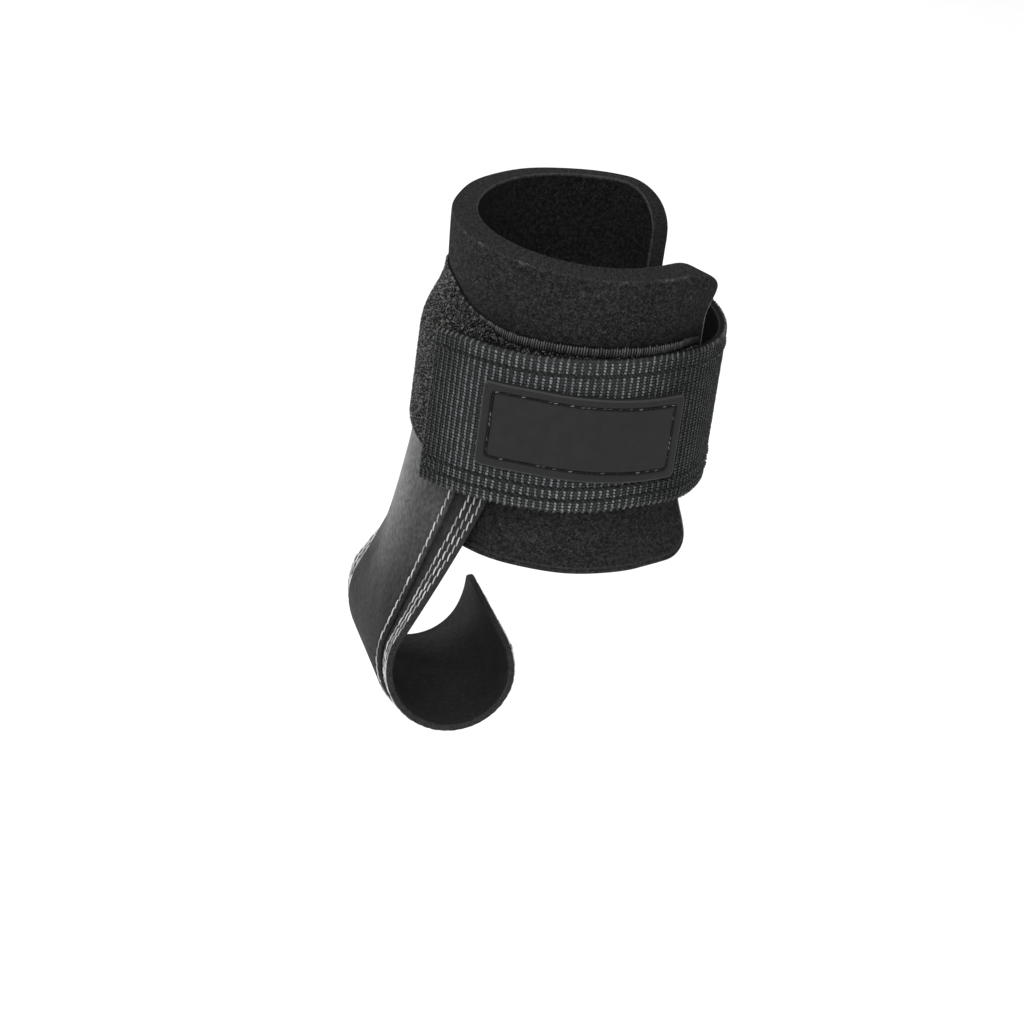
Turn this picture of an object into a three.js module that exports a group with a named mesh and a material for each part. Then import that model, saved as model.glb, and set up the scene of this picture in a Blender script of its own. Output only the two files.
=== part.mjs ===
// A lifting grip in its worn form: a padded cuff, its closing strap, and a leather flap bent to a hook.
// Millimetres. +Z is the cuff's axis, pointing away from the hook. The origin is the middle of the cuff.
// -X is the side the flap hangs from, -Y the front with the label, +X the side where the cuff opens.
import * as THREE from 'three';

// Section of the cuff: half an oval on the flap's side and a slightly shallower half on the other
const flapSideHalf = 34.9;
const openSideHalf = 33.0;
const frontHalf = 36.7;

// Foam pad. Angles round the cuff are in degrees from the front, towards +X.
const padHeight = 79;
const padThick = 6.2;
const padFrontEnd = 69;
const padBackEnd = -215;
const padTopCorner = 14;
const padBottomCorner = 8;
const padGrid = { columns: 60, rows: 8 };
const rimFlare = 0.6;
const rimFlareFrom = 22;
const rimSlope = 0.8;
const rimSlopeFrom = 0.75;
const endReach = 28;
const endDip = 1.3;
const endLift = 2.0;

// Leather flap: a wide backing ply and a narrower face ply
const plyThick = 1.4;
const layerGap = 0.3;
const flapAngle = -88;
const flapHalfAngle = 61.5;
const flapRootHalf = 38.6;
const flapRootTop = 5;
const flapLeavesCuff = -21;
const flapEase = 1.15;
const flapColumns = { root: 5, straight: 14, round: 28 };
const endCorner = 9;
const endCrowding = 1.6;
const backingPly = { rows: 14, inner: layerGap, sideBorder: 0, endBorder: 0, rootBorder: 0 };
const facePly = {
  rows: 12, inner: 2 * layerGap + plyThick, sideBorder: 8.5, endBorder: 2.1, rootBorder: 1.0,
};

// Round of the hook: its centre, radius, how far the flap goes round it, the turn of its axis, and the
// flap's half width there, with the shift of its middle towards the front
const hookCentre = new THREE.Vector3(-29, 0, -75.5);
const hookRadius = 14.4;
const hookWrap = 200;
const hookYaw = 13;
const hookTilt = -9;
const hookHalfWidth = 34;
const hookShift = 6.5;

// Loop tape, hook tape and strap
const loopThick = 1.2;
const loopFrontEnd = 64;
const loopBackEnd = -166;
const loopShoulder = 1.0;
const loopFlatStrip = 1.0;
const loopGrid = { columns: 44, lowerRows: 3, upperRows: 4 };
const hookTapeThick = 1.0;
const hookTapeWidth = 38;
const hookTapeFrom = -51.5;
const hookTapeTo = 56;
const hookTapeGrid = { columns: 28, rows: 2 };
const strapThick = 2.0;
const strapWidth = 40;
const strapFreeEnd = -53;
const strapRoot = 190;
const strapGrid = { columns: 56, rows: 4 };
const rampFrom = -8;
const rampTo = -38;
const inwardFrom = 50;
const inwardTo = 105;

// Height of the strap's middle line round the cuff
const strapLine = [
  { angle: -53, middle: -3.3 },
  { angle: -36, middle: -1.6 },
  { angle: -12, middle: -1.5 },
  { angle: 10, middle: -0.3 },
  { angle: 36, middle: 0.8 },
  { angle: 68, middle: -1.2 },
  { angle: 112, middle: -3.4 },
  { angle: 190, middle: -3.0 },
];
// Lower and upper edges of the loop tape, which is widest over the flap
const loopLine = [
  { angle: -166, low: -17.0, high: 19.5 },
  { angle: -110, low: -17.6, high: 22.6 },
  { angle: -85, low: -17.8, high: 24.6 },
  { angle: -68, low: -18.2, high: 24.6 },
  { angle: -52, low: -18.6, high: 21.8 },
  { angle: -32, low: -18.8, high: 20.4 },
  { angle: 0, low: -19.0, high: 21.0 },
  { angle: 50, low: -18.0, high: 21.4 },
  { angle: 64, low: -18.0, high: 20.6 },
];

// Label patch, with a sunk channel for its sewing
const patchThick = 1.5;
const patchHeight = 22;
const patchFrom = -28.7;
const patchTo = 42;
const patchLevel = -0.5;
const patchCorner = 1.6;
const patchFieldSteps = { along: 9, up: 3 };
const channelAt = 2.5;
const channelWidth = 0.9;
const channelDepth = 0.4;

const degrees = Math.PI / 180;
const clamp01 = (t) => Math.min(1, Math.max(0, t));
const mix = (a, b, t) => a + (b - a) * t;

function smooth(from, to, value) {
  const t = clamp01((value - from) / (to - from));
  return t * t * (3 - 2 * t);
}

// One column of a table read at an angle, by a cubic between two rows. Its slope at a row is that of the
// line through the rows on either side.
function readTable(table, column, angle) {
  const last = table.length - 1;
  const slopeAt = (row) => {
    const before = table[Math.max(0, row - 1)];
    const after = table[Math.min(last, row + 1)];
    return (after[column] - before[column]) / (after.angle - before.angle);
  };
  const found = table.findIndex((row) => row.angle >= angle);
  const next = found < 0 ? last : Math.max(1, found);
  const a = table[next - 1];
  const b = table[next];
  const span = b.angle - a.angle;
  const t = clamp01((angle - a.angle) / span);
  const bend = t * (1 - t) * span;
  const along = mix(a[column], b[column], smooth(0, 1, t));
  return along + bend * ((1 - t) * slopeAt(next - 1) - t * slopeAt(next));
}

// Point on the cuff's section at an angle, moved out along the section's normal
function cuffPoint(angle, offset, height) {
  const sine = Math.sin(angle * degrees);
  const cosine = Math.cos(angle * degrees);
  const half = sine > 0 ? openSideHalf : flapSideHalf;
  const normal = new THREE.Vector2(frontHalf * sine, -half * cosine).normalize();
  const x = half * sine + normal.x * offset;
  const y = -frontHalf * cosine + normal.y * offset;
  return new THREE.Vector3(x, y, height);
}

// Closed wall between an inner grid of points (side 0) and an outer one (side 1)
function wall(columns, rows, place) {
  const points = [];
  const faces = [];
  const at = (side, i, j) => (side * (columns + 1) + i) * (rows + 1) + j;
  for (let side = 0; side < 2; side += 1) {
    for (let i = 0; i <= columns; i += 1) {
      for (let j = 0; j <= rows; j += 1) points.push(place(i, j, side));
    }
  }
  const quad = (a, b, c, d) => faces.push(a, b, c, a, c, d);
  for (let i = 0; i < columns; i += 1) {
    for (let j = 0; j < rows; j += 1) {
      quad(at(1, i, j), at(1, i + 1, j), at(1, i + 1, j + 1), at(1, i, j + 1));
      quad(at(0, i, j), at(0, i, j + 1), at(0, i + 1, j + 1), at(0, i + 1, j));
    }
    quad(at(0, i, 0), at(0, i + 1, 0), at(1, i + 1, 0), at(1, i, 0));
    quad(at(0, i + 1, rows), at(0, i, rows), at(1, i, rows), at(1, i + 1, rows));
  }
  for (let j = 0; j < rows; j += 1) {
    quad(at(0, 0, j + 1), at(0, 0, j), at(1, 0, j), at(1, 0, j + 1));
    quad(at(0, columns, j), at(0, columns, j + 1), at(1, columns, j + 1), at(1, columns, j));
  }
  return facingOut(points, faces);
}

// Geometry from points and triangles, turned so that its volume is positive
function facingOut(points, faces) {
  let volume = 0;
  for (let k = 0; k < faces.length; k += 3) {
    const [a, b, c] = [points[faces[k]], points[faces[k + 1]], points[faces[k + 2]]];
    volume += a.dot(new THREE.Vector3().crossVectors(b, c));
  }
  const numbers = points.flatMap((point) => point.toArray());
  const geometry = new THREE.BufferGeometry();
  geometry.setAttribute('position', new THREE.Float32BufferAttribute(numbers, 3));
  geometry.setIndex(volume > 0 ? faces : faces.toReversed());
  geometry.computeVertexNormals();
  return geometry;
}

// Drop of a rounded corner at a distance from the end of an edge
function cornerDrop(distance, radius) {
  const inside = Math.max(0, radius - distance);
  return radius - Math.sqrt(radius * radius - inside * inside);
}

// How near an angle is to the pad's front end, where the strap presses the pad in
const nearFrontEnd = (angle) => smooth(padFrontEnd - endReach, padFrontEnd, angle);

// Pad: flared at both rims, pressed in under the strap at its front end, corners rounded.
// Its columns crowd towards the two ends.
function padGeometry() {
  const { columns, rows } = padGrid;
  const half = padHeight / 2;
  return wall(columns, rows, (i, j, side) => {
    const t = i / columns;
    const crowded = t - Math.sin(2 * Math.PI * t) / (4 * Math.PI);
    const angle = mix(padBackEnd, padFrontEnd, crowded);
    const fromEnd = Math.min(padFrontEnd - angle, angle - padBackEnd) * degrees * flapSideHalf;
    const high = half - cornerDrop(fromEnd, padTopCorner);
    const low = cornerDrop(fromEnd, padBottomCorner) - half;
    const level = mix(low, high, j / rows);
    const nearEnd = nearFrontEnd(angle);
    const rim = smooth(rimFlareFrom, half, Math.abs(level));
    const outward = rimFlare * rim + nearEnd * (endLift * rim - endDip * (1 - rim));
    const slope = side * rimSlope * smooth(rimSlopeFrom, 1, j / rows);
    return cuffPoint(angle, outward - (1 - side) * padThick, level - slope);
  });
}

// Axes of the hook's round: along it, level across it, and up across it
const hookAxis = new THREE.Vector3(
  -Math.sin(hookYaw * degrees) * Math.cos(hookTilt * degrees),
  Math.cos(hookYaw * degrees) * Math.cos(hookTilt * degrees),
  Math.sin(hookTilt * degrees),
);
const hookSide = new THREE.Vector3(Math.cos(hookYaw * degrees), Math.sin(hookYaw * degrees), 0);
const hookUp = new THREE.Vector3().crossVectors(hookSide, hookAxis).normalize();

// Flap: lies on the cuff at its root, runs taut from below the tape to where it meets the round, and bends
// under it. A place on it is stage (0 to 1 root, 1 to 2 taut run, 2 to 3 round) and across (-1 at the back
// edge, 1 at the front edge).
function flapPoint(stage, across) {
  const angle = flapAngle + across * flapHalfAngle;
  if (stage <= 1) return cuffPoint(angle, 0, mix(flapRootTop, flapLeavesCuff, stage));
  const towardsFront = hookShift + across * hookHalfWidth;
  const centre = hookCentre.clone().addScaledVector(hookAxis, -towardsFront);
  const leaves = cuffPoint(angle, 0, flapLeavesCuff);
  const reach = leaves.clone().sub(centre);
  const sideways = reach.dot(hookSide);
  const upward = reach.dot(hookUp);
  const tangent = Math.acos(hookRadius / Math.hypot(sideways, upward));
  const meets = Math.atan2(upward, sideways) + tangent - Math.PI;
  const turn = mix(meets, hookWrap * degrees, Math.max(0, stage - 2));
  const round = centre
    .addScaledVector(hookSide, -hookRadius * Math.cos(turn))
    .addScaledVector(hookUp, -hookRadius * Math.sin(turn));
  if (stage >= 2) return round;
  const t = stage - 1;
  const eased = t ** flapEase;
  return new THREE.Vector3(
    mix(leaves.x, round.x, eased),
    mix(leaves.y, round.y, eased),
    mix(leaves.z, round.z, t),
  );
}

// Same place moved out along the flap's own normal, found from two short steps on its surface
function flapOffset(stage, across, offset) {
  const step = 1e-3;
  const down = flapPoint(stage + step, across).sub(flapPoint(stage - step, across));
  const over = flapPoint(stage, across + step).sub(flapPoint(stage, across - step));
  return flapPoint(stage, across).addScaledVector(down.cross(over).normalize(), offset);
}

// One ply of the flap, short of the backing's outline by its borders, with a rounded end
function plyGeometry({ rows, inner, sideBorder, endBorder, rootBorder }) {
  const { root, straight, round } = flapColumns;
  const roundLength = hookWrap * degrees * hookRadius;
  const start = rootBorder / (flapRootTop - flapLeavesCuff);
  const end = 3 - endBorder / roundLength;
  const stageAt = (i) => {
    if (i <= root) return mix(start, 1, i / root);
    if (i <= root + straight) return 1 + (i - root) / straight;
    return mix(end, 2, (1 - (i - root - straight) / round) ** endCrowding);
  };
  return wall(root + straight + round, rows, (i, j, side) => {
    const stage = stageAt(i);
    const rounded = cornerDrop((end - stage) * roundLength, endCorner);
    const half = mix(flapRootHalf, hookHalfWidth, clamp01(stage - 1));
    const reach = (half - sideBorder - rounded) / half;
    return flapOffset(stage, mix(-reach, reach, j / rows), inner + side * plyThick);
  });
}

// How far the two plies lift what lies over them, and the share of it at an angle: 0 beside the flap
const flapLift = 2 * (plyThick + layerGap);
function overFlap(angle) {
  const mirrored = angle < flapAngle ? 2 * flapAngle - angle : angle;
  return smooth(rampFrom, rampTo, mirrored);
}

// Loop tape: flat on the pad along its upper edge, lifted over the flap's root below that, and pressed in
// with the pad at its front end
function loopGeometry() {
  const { columns, lowerRows, upperRows } = loopGrid;
  const shoulder = flapRootTop + loopShoulder;
  return wall(columns, lowerRows + upperRows, (i, j, side) => {
    const angle = mix(loopBackEnd, loopFrontEnd, i / columns);
    const low = readTable(loopLine, 'low', angle);
    const high = readTable(loopLine, 'high', angle);
    const level = j <= lowerRows
      ? mix(low, shoulder, j / lowerRows)
      : mix(shoulder, high, (j - lowerRows) / upperRows);
    const lift = flapLift * overFlap(angle) * smooth(high - loopFlatStrip, shoulder, level);
    const seat = layerGap - endDip * nearFrontEnd(angle);
    return cuffPoint(angle, seat + lift + side * loopThick, level);
  });
}

// Offset of the strap's inner face: over the tapes at the front, moving in to the pad past the opening
const overTapes = 3 * layerGap + loopThick + hookTapeThick;
function strapOffset(angle) {
  const front = overTapes + flapLift * overFlap(angle) - endDip * nearFrontEnd(angle);
  return mix(front, layerGap, smooth(inwardFrom, inwardTo, angle));
}

function strapGeometry() {
  const { columns, rows } = strapGrid;
  return wall(columns, rows, (i, j, side) => {
    const angle = mix(strapFreeEnd, strapRoot, i / columns);
    const level = readTable(strapLine, 'middle', angle) + (j / rows - 0.5) * strapWidth;
    return cuffPoint(angle, strapOffset(angle) + side * strapThick, level);
  });
}

function hookTapeGeometry() {
  const { columns, rows } = hookTapeGrid;
  return wall(columns, rows, (i, j, side) => {
    const angle = mix(hookTapeFrom, hookTapeTo, i / columns);
    const level = readTable(strapLine, 'middle', angle) + (j / rows - 0.5) * hookTapeWidth;
    const inner = strapOffset(angle) - layerGap - hookTapeThick;
    return cuffPoint(angle, inner + side * hookTapeThick, level);
  });
}

// Distances across the patch at which its grid has lines: its edges, the sewing channel and the field
function patchStations(length, fieldSteps) {
  const half = channelWidth / 2;
  const edge = [0, patchCorner / 2, patchCorner, channelAt - half, channelAt, channelAt + half];
  const inner = edge.at(-1);
  const field = [];
  for (let k = 1; k < fieldSteps; k += 1) field.push(mix(inner, length - inner, k / fieldSteps));
  return [...edge, ...field, ...edge.map((distance) => length - distance).toReversed()];
}

// Patch: its corners are rounded by shortening the end columns, and the channel's middle line is sunk
function patchGeometry() {
  const radius = frontHalf + overTapes + strapThick;
  const length = (patchTo - patchFrom) * degrees * radius;
  const along = patchStations(length, patchFieldSteps.along);
  const up = patchStations(patchHeight, patchFieldSteps.up);
  return wall(along.length - 1, up.length - 1, (i, j, side) => {
    const t = along[i] / length;
    const angle = mix(patchFrom, patchTo, t);
    const fromSide = Math.min(along[i], length - along[i]);
    const fromRim = Math.min(up[j], patchHeight - up[j]);
    const reach = patchHeight / 2 - cornerDrop(fromSide, patchCorner);
    const level = patchLevel + mix(-reach, reach, up[j] / patchHeight);
    const sunk = Math.abs(Math.min(fromSide, fromRim) - channelAt) < channelWidth / 4;
    const top = patchThick - (sunk ? channelDepth : 0);
    const seat = strapOffset(angle) + strapThick + layerGap;
    return cuffPoint(angle, seat + side * top, level);
  });
}

const pieces = [
  { name: 'cuff_pad', geometry: padGeometry(), color: 0x2a2a2b, roughness: 0.92 },
  { name: 'flap_backing', geometry: plyGeometry(backingPly), color: 0x242424, roughness: 0.6 },
  { name: 'flap_face', geometry: plyGeometry(facePly), color: 0x2e2e2e, roughness: 0.45 },
  { name: 'loop_tape', geometry: loopGeometry(), color: 0x333333, roughness: 0.97 },
  { name: 'hook_tape', geometry: hookTapeGeometry(), color: 0x202020, roughness: 0.8 },
  { name: 'closing_strap', geometry: strapGeometry(), color: 0x3a3c3c, roughness: 0.75 },
  { name: 'label_patch', geometry: patchGeometry(), color: 0x323232, roughness: 0.6 },
];

const grip = new THREE.Group();
for (const { name, geometry, color, roughness } of pieces) {
  const material = new THREE.MeshStandardMaterial({ color, roughness, metalness: 0 });
  const mesh = new THREE.Mesh(geometry, material);
  mesh.name = name;
  grip.add(mesh);
}

export default grip;
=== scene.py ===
# Looks of a lifting grip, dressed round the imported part. Lengths are in millimetres until a mesh is made.
import math

import bpy
import numpy as np
from mathutils import Matrix


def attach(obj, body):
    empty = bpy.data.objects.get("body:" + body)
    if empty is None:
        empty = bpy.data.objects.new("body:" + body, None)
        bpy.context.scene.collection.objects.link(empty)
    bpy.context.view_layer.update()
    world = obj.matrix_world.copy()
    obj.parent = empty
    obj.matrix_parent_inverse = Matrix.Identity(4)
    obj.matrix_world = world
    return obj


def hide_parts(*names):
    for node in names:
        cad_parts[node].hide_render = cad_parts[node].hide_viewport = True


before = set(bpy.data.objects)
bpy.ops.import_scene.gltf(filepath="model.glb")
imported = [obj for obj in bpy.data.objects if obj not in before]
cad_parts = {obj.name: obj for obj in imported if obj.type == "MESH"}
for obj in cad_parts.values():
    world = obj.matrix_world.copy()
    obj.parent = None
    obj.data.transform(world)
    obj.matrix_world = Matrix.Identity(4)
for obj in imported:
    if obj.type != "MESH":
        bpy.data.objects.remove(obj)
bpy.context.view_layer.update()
draw = np.random.default_rng(11)
mm = 0.001


def mix(a, b, t):
    # a where t is 0, b where it is 1
    return a + (b - a) * t


def smooth(start, end, value):
    # eased step from 0 at start to 1 at end: three t squared less two t cubed
    t = np.clip((value - start) / (end - start), 0, 1)
    return t * t * (3 - 2 * t)


def cornerDrop(distance, radius):
    # how far a rounded corner falls away: radius less the height of its quarter circle
    inside = np.clip(radius - distance, 0, radius)
    return radius - np.sqrt(radius * radius - inside * inside)


def bell(offset, half):
    # 1 at no offset, falling away to both sides as exp of minus the square
    return np.exp(-((offset / half) ** 2))


def crowded(count, ease):
    # values from 0 to 1 that lie closer at both ends: t less sin(2 pi t) over ease times pi
    t = np.linspace(0, 1, count)
    return t - np.sin(2 * np.pi * t) / (ease * np.pi)


def readLine(rows, angle):
    # cubic through (angle, value) rows, its slope at a row that of the line through the rows beside it
    at, value = np.array(rows, float).T
    last = len(at) - 1
    index = np.arange(last + 1)
    before, after = np.maximum(index - 1, 0), np.minimum(index + 1, last)
    slope = (value[after] - value[before]) / (at[after] - at[before])
    b = np.clip(np.searchsorted(at, angle), 1, last)
    a = b - 1
    span = at[b] - at[a]
    t = np.clip((angle - at[a]) / span, 0, 1)
    bend = t * (1 - t) * span * ((1 - t) * slope[a] - t * slope[b])
    return mix(value[a], value[b], t * t * (3 - 2 * t)) + bend


# The cuff's section, and what lies on it
cuff = {
    "flapSideHalf": 34.9, "openSideHalf": 33.0, "frontHalf": 36.7, "layerGap": 0.3, "sideShade": (-30, -42),
}
tape = {
    "thick": 1.2, "ground": 0.8, "frontEnd": 64, "backEnd": -166, "shoulder": 6.0, "flatStrip": 1.0,
    "lift": 3.4, "rampFrom": -8, "rampTo": -38, "columns": 200, "rows": 32, "selvage": 2.7, "press": 0.9,
    "pressReach": 14, "pressTop": 1, "seat": 0.22, "ribbedFrom": (-42, -28), "tones": (0.005, 0.026),
    "rimTone": 0.007, "edge": {"round": 0.35, "steps": 6, "square": 0.6},
    "low": [(-166, -17.0), (-110, -17.6), (-85, -17.8), (-68, -18.2), (-52, -18.6), (-32, -18.8),
            (0, -19.0), (50, -18.0), (64, -18.0)],
    "high": [(-166, 19.5), (-110, 22.6), (-85, 24.6), (-68, 24.6), (-52, 21.8), (-32, 20.4),
             (0, 21.0), (50, 21.3), (64, 19.6)],
}


def cuffPoint(angle, offset, height):
    # half an oval each side, (half sin a, -front cos a), moved out by offset along its normal, which is
    # (front sin a, -half cos a)
    turn = np.radians(angle)
    half = np.where(np.sin(turn) > 0, cuff["openSideHalf"], cuff["flapSideHalf"])
    across, along = cuff["frontHalf"] * np.sin(turn), -half * np.cos(turn)
    size = np.hypot(across, along)
    x = half * np.sin(turn) + offset * across / size
    y = -cuff["frontHalf"] * np.cos(turn) + offset * along / size
    return np.stack(np.broadcast_arrays(x, y, height), axis=-1)


def wayLengths(points):
    # length of the way up to each of its points
    steps = np.linalg.norm(np.diff(points, axis=0), axis=1)
    return np.concatenate([[0], np.cumsum(steps)])


def runTable(start, end, offset):
    # angles from start to end, and the length of the way along them at that offset from the section
    angle = np.linspace(start, end, 800)
    return {"angle": angle, "run": wayLengths(cuffPoint(angle, offset(angle), 0.0))}


def angleAt(table, run):
    # carried on in a straight line past both ends, so that a rounded edge can stand proud
    past = np.minimum(run, 0) + np.maximum(run - table["run"][-1], 0)
    perMm = (table["angle"][-1] - table["angle"][0]) / table["run"][-1]
    return np.interp(run, table["run"], table["angle"]) + past * perMm


# Meshes
def buildPiece(name, points, faces, flat=None, marks=None):
    # flat coordinates become the piece's UV map, marks its point attributes
    mesh = bpy.data.meshes.new(name)
    mesh.from_pydata((points.reshape(-1, 3) * mm).tolist(), [], faces)
    if flat is not None:
        corner = np.empty(len(mesh.loops), int)
        mesh.loops.foreach_get("vertex_index", corner)
        layer = mesh.uv_layers.new(name="flat")
        layer.data.foreach_set("uv", flat.reshape(-1, 2)[corner].ravel())
    for key, values in (marks or {}).items():
        mesh.attributes.new(key, "FLOAT", "POINT").data.foreach_set("value", values.ravel())
    mesh.shade_smooth()
    piece = bpy.data.objects.new(name, mesh)
    bpy.context.scene.collection.objects.link(piece)
    print("made", name, len(mesh.vertices), "points", len(mesh.polygons), "faces")
    return piece


def gridQuads(columns, rows):
    # the four corners of each cell of a grid of points
    index = np.arange(columns * rows).reshape(columns, rows)
    corners = index[:-1, :-1], index[1:, :-1], index[1:, 1:], index[:-1, 1:]
    return np.stack(corners, axis=-1).reshape(-1, 4)


def ringQuads(rings):
    # the four corners of each cell between a ring of points and the next, for many threads at once
    ahead = np.roll(rings, -1, axis=2)
    corners = rings[:, :-1], ahead[:, :-1], ahead[:, 1:], rings[:, 1:]
    return np.stack(corners, axis=-1).reshape(-1, 4).tolist()


def evenGrid(length, look, columns):
    # evenly spaced both ways, as far in from the outline as the edge stands proud
    inset, half = look["edge"]["round"], look["width"] / 2
    along = np.linspace(inset, length - inset, columns)
    across = np.linspace(inset - half, half - inset, look["rows"])
    return np.meshgrid(along, across, indexing="ij")


def slab(name, u, v, place, inner, outer, edge, inside=None):
    # a flat grid (u, v) set at two heights by place, its border carried from the upper face to the lower
    # one on half a rounded square that stands edge["round"] proud
    columns, rows = u.shape
    index = np.arange(columns * rows).reshape(columns, rows)
    loop = np.concatenate([index[:, 0], index[-1, 1:], index[-2::-1, -1], index[0, -2:0:-1]])
    inner, outer = (np.broadcast_to(h, u.shape) for h in (inner, outer))
    lu, lv = u.ravel()[loop], v.ravel()[loop]
    du, dv = (np.roll(x, -1) - np.roll(x, 1) for x in (lu, lv))
    size = np.hypot(du, dv) + 1e-9
    turn = np.linspace(0, np.pi, edge["steps"] + 1)[1:-1, None]
    height = np.sign(np.cos(turn)) * np.abs(np.cos(turn)) ** edge["square"]
    proud = edge["round"] * np.abs(np.sin(turn)) ** edge["square"]
    low, high = inner.ravel()[loop], outer.ravel()[loop]
    ru, rv = lu + proud * dv / size, lv - proud * du / size
    rh = (high + low) / 2 + height * (high - low) / 2
    points = [place(u, v, outer), place(u, v, inner), place(ru, rv, rh)]
    flat = [np.stack(p, axis=-1) for p in ((u, v), (u, v), (ru, rv))]
    fromEdge = np.minimum.reduce([v - v[:, :1], v[:, -1:] - v, u - u[:1], u[-1:] - u])
    marks = {
        "rim": np.concatenate([np.zeros(2 * u.size), np.ones(ru.size)]),
        "fromEdge": np.concatenate([fromEdge.ravel(), fromEdge.ravel(), np.zeros(ru.size)]),
        "outside": np.concatenate([np.ones(u.size), np.zeros(u.size), (1 + height + 0 * ru).ravel() / 2]),
    }
    if inside:
        marks["inside"] = np.concatenate([inside(u, v).ravel(), np.zeros(u.size + ru.size)])
    face = gridQuads(columns, rows)
    ring = 2 * u.size + np.arange(ru.size).reshape(ru.shape)
    strips = np.concatenate([loop[None], ring, u.size + loop[None]])
    ahead = np.roll(strips, -1, axis=1)
    sides = np.stack([strips[1:], ahead[1:], ahead[:-1], strips[:-1]], axis=-1).reshape(-1, 4)
    faces = np.concatenate([face, face[:, ::-1] + u.size, sides]).tolist()
    gather = [np.concatenate([x.reshape(-1, x.shape[-1]) for x in parts]) for parts in (points, flat)]
    return buildPiece(name, gather[0], faces, gather[1], marks)


def tubes(name, threads, radius, around, tone):
    # many short threads at once: a ring of points in the plane of side and up, carried along the centres
    centre, side, up = threads
    count, stations = centre.shape[:2]
    turn = np.linspace(0, 2 * np.pi, around, endpoint=False)[:, None]
    ring = np.cos(turn) * side[:, :, None] + np.sin(turn) * up[:, :, None]
    points = centre[:, :, None] + np.broadcast_to(radius, (count, stations))[..., None, None] * ring
    index = np.arange(count * stations * around).reshape(count, stations, around)
    faces = ringQuads(index) + index[:, 0, ::-1].tolist() + index[:, -1].tolist()
    tone = np.broadcast_to(tone.reshape(count, -1, 1), index.shape)
    return buildPiece(name, points, faces, None, {"tone": tone})


def unit(vectors):
    # each vector over its own length
    return vectors / (np.linalg.norm(vectors, axis=-1, keepdims=True) + 1e-12)


thread = {"outStep": 0.2, "stitchTaper": 0.45, "barTaper": 0.35, "barUneven": 0.06}


def threadFrame(place, u, v, h, nudge=0.0):
    # middle line of each thread on a surface, with the directions sideways and outwards along it; a nudge
    # keeps sideways defined where a thread runs straight out
    centre = place(u, v, h)
    along = unit(np.gradient(centre, axis=1))
    out = unit(place(u, v, h + thread["outStep"]) - centre)
    side = unit(np.cross(along, out + nudge))
    return centre, side, np.cross(side, along)


def stitches(name, place, rows, look):
    # a stitch is a thread that rises out of the surface, runs on it and dips again; a row is (u, v, height)
    t = np.linspace(0, 1, look["stations"])
    fromMiddle = np.abs(2 * t - 1)
    dip = fromMiddle ** 3
    parts = []
    for u, v, base in rows:
        base = np.broadcast_to(base, u.shape)
        run = wayLengths(place(u, v, base))
        count = int(run[-1] / look["pitch"])
        pitch = run[-1] / count
        wander = draw.normal(0, look["wander"], (count, 1))
        at = (np.arange(count)[:, None] + 0.5 + (t - 0.5) * look["fill"]) * pitch
        su, sv, sh = (np.interp(at, run, x) for x in (u, v, base))
        du, dv = (np.interp(at, run, np.gradient(x, run)) for x in (u, v))
        size = np.hypot(du, dv) + 1e-9
        slant = look["slant"] * (t - 0.5) * pitch + wander
        height = sh + look["rise"] * (1 - dip) - look["sink"] * dip
        threads = threadFrame(place, su - slant * dv / size, sv + slant * du / size, height)
        parts.append((*threads, draw.random((count, 1))))
    *threads, tone = (np.concatenate(x) for x in zip(*parts))
    radius = look["radius"] * (1 - thread["stitchTaper"] * fromMiddle ** 5)
    return tubes(name, threads, radius, look["around"], tone)


def finishPiece(piece, material, slot, *replaced):
    # its material and body, and the node that it takes the place of; slot is not used
    piece.data.materials.append(material)
    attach(piece, "root")
    if replaced:
        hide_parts(*replaced)
    return piece


# Materials
def startMaterial(name, gloss, roughness=0.5):
    material = bpy.data.materials.new(name)
    material.use_nodes = True
    tree = material.node_tree
    shader = tree.nodes["Principled BSDF"]
    shader.inputs["Specular IOR Level"].default_value = gloss
    shader.inputs["Roughness"].default_value = roughness
    return material, tree, shader


def addNode(tree, kind, sockets=None, **settings):
    node = tree.nodes.new(kind)
    for key, value in settings.items():
        setattr(node, key, value)
    for key, value in (sockets or {}).items():
        if isinstance(value, bpy.types.NodeSocket):
            tree.links.new(value, node.inputs[key])
        else:
            node.inputs[key].default_value = value
    return node


def joined(kind, sockets, **settings):
    # a node in the same tree as the sockets that feed it
    tree = next(x.id_data for x in sockets.values() if isinstance(x, bpy.types.NodeSocket))
    return addNode(tree, kind, sockets, **settings).outputs


def calc(operation, a, b=0.0, c=0.0, clamp=False):
    return joined("ShaderNodeMath", {0: a, 1: b, 2: c}, operation=operation, use_clamp=clamp)[0]


def times(first, *others):
    for other in others:
        first = calc("MULTIPLY", first, other)
    return first


def grey(level, tint=(1.0, 1.0, 1.0)):
    return (level * tint[0], level * tint[1], level * tint[2], 1.0)


def blend(factor, a, b):
    return joined("ShaderNodeMix", {0: factor, 6: a, 7: b}, data_type="RGBA")[2]


def ramp(value, low, high, toLow=0.0, toHigh=1.0):
    # eased from toLow where the value is low to toHigh where it is high
    sockets = {"Value": value, "From Min": low, "From Max": high, "To Min": toLow, "To Max": toHigh}
    return joined("ShaderNodeMapRange", sockets, interpolation_type="SMOOTHSTEP")[0]


def grain(tree, size, detail=2.0, roughness=0.5):
    # noise on the piece's own coordinates, with features about size millimetres across
    place = addNode(tree, "ShaderNodeTexCoord").outputs["Object"]
    sockets = {"Vector": place, "Scale": 1 / (size * mm), "Detail": detail, "Roughness": roughness}
    return addNode(tree, "ShaderNodeTexNoise", sockets).outputs["Fac"]


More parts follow.
